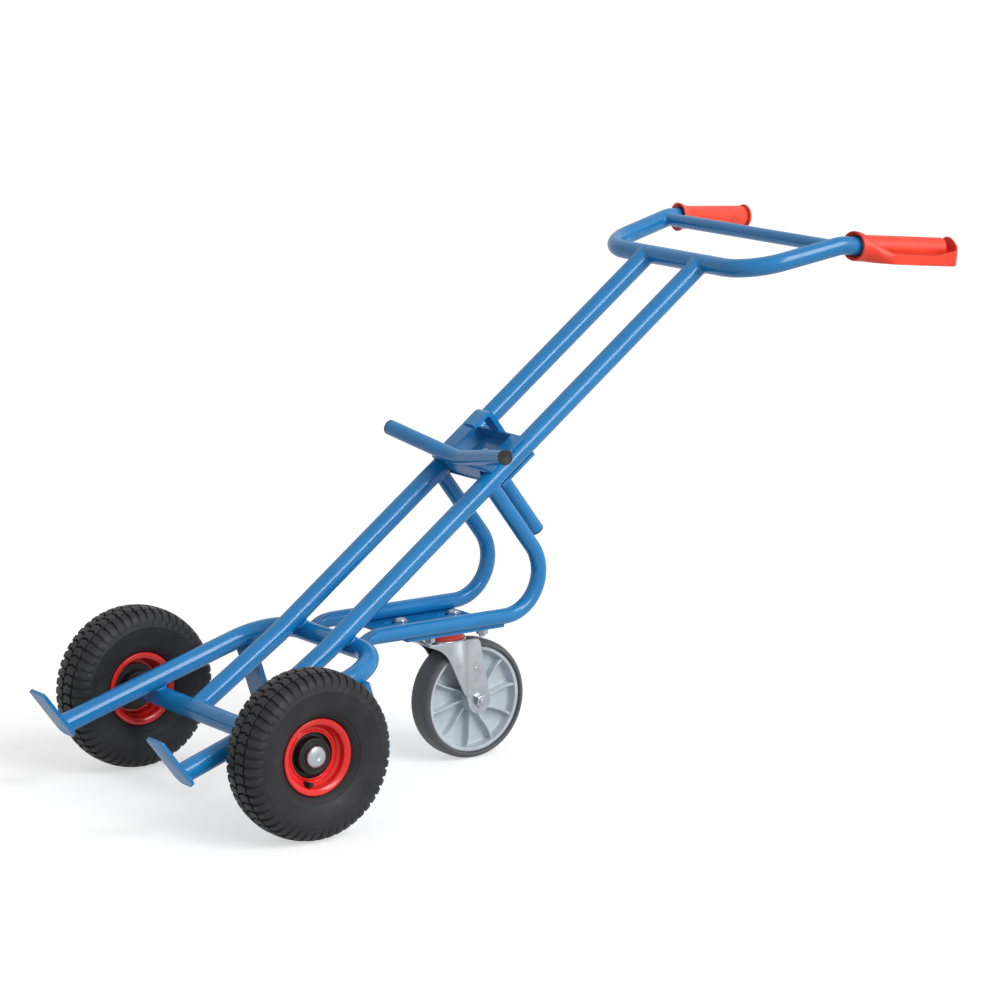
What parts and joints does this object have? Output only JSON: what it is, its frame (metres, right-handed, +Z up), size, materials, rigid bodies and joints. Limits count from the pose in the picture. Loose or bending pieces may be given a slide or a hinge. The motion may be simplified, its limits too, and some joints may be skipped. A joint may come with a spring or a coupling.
{
  "type": "drum trolley",
  "caption": "Tubular steel drum trolley with pneumatic wheels, toe plates, a sliding rim hook with clamp, a swivel castor behind and a wide handle with guarded grips.",
  "frame": {"origin": "on the floor under the middle of the trolley's length and width", "axes": "+X towards the handle, +Y to the right side, +Z up"},
  "size_m": [1.4571, 0.5986, 0.8285],
  "materials": {
    "blue_paint": "gloss powder coat",
    "tyre_rubber": "matt rubber",
    "tube_rubber": "matt rubber",
    "rim_red": "gloss paint",
    "grip_red": "soft matt",
    "swivel_red": "gloss",
    "black_plastic": "matt",
    "zinc": "bright zinc",
    "bearing_steel": "ground",
    "castor_grey": "satin",
    "castor_rubber": "matt"
  },
  "bodies": {
    "frame": {"toe_frame": "blue_paint", "axle_tube": "blue_paint", "left_stile": "blue_paint", "right_stile": "blue_paint", "left_toe_plate": "blue_paint", "right_toe_plate": "blue_paint", "left_step_bar": "blue_paint", "right_step_bar": "blue_paint", "left_castor_tube": "blue_paint", "right_castor_tube": "blue_paint", "castor_mount_plate": "blue_paint", "handle_frame": "blue_paint", "handle_cross_tube": "blue_paint", "left_grip": "grip_red", "right_grip": "grip_red", "wheel_axle": "zinc", "axle_washers": "zinc", "axle_caps": "zinc", "castor_top_plate": "zinc", "castor_bolts": "zinc", "castor_bolt_washers": "zinc", "castor_nuts": "zinc", "castor_kingpin": "zinc", "castor_kingpin_nut": "zinc"},
    "left_wheel": {"left_tyre": "tyre_rubber", "left_inner_tube": "tube_rubber", "left_rim": "rim_red", "left_hub": "black_plastic", "left_bearings": "bearing_steel", "left_valve": "tube_rubber"},
    "right_wheel": {"right_tyre": "tyre_rubber", "right_inner_tube": "tube_rubber", "right_rim": "rim_red", "right_hub": "black_plastic", "right_bearings": "bearing_steel", "right_valve": "tube_rubber"},
    "castor_fork": {"castor_fork": "zinc", "swivel_race": "bearing_steel", "swivel_balls": "bearing_steel", "swivel_ring": "swivel_red", "castor_axle_bolt": "zinc", "castor_axle_nut": "zinc", "castor_spacer": "zinc"},
    "castor_wheel": {"castor_tyre": "castor_rubber", "castor_core": "castor_grey", "castor_bush": "black_plastic"},
    "rim_hook_slide": {"hook_carriage": "blue_paint", "rim_hook": "blue_paint", "cradle_bar": "blue_paint", "cradle_caps": "black_plastic", "clamp_plate": "blue_paint", "clamp_bolt": "zinc"},
    "clamp_handle": {"clamp_handle": "blue_paint", "clamp_nut": "zinc", "clamp_handle_cap": "black_plastic"}
  },
  "joints": [
    {"name": "left_wheel_spin", "type": "hinge", "parent": "frame", "child": "left_wheel", "pos_m": [-0.5099, -0.257, 0.13], "axis": [0, 1, 0], "continuous": true},
    {"name": "right_wheel_spin", "type": "hinge", "parent": "frame", "child": "right_wheel", "pos_m": [-0.5099, 0.257, 0.13], "axis": [0, 1, 0], "continuous": true},
    {"name": "castor_swivel", "type": "hinge", "parent": "frame", "child": "castor_fork", "pos_m": [-0.0949, 0, 0.2], "axis": [0, 0, 1], "continuous": true},
    {"name": "castor_wheel_spin", "type": "hinge", "parent": "castor_fork", "child": "castor_wheel", "pos_m": [-0.0449, 0, 0.0975], "axis": [0, 1, 0], "continuous": true},
    {"name": "hook_slide", "type": "slide", "parent": "frame", "child": "rim_hook_slide", "axis": [0.7997, 0, 0.6004], "range_m": [0, 0.4]},
    {"name": "clamp_turn", "type": "hinge", "parent": "rim_hook_slide", "child": "clamp_handle", "pos_m": [0.00715, 0, 0.46594], "axis": [-0.6004, 0, 0.7997], "range_deg": [0, 360]}
  ]
}
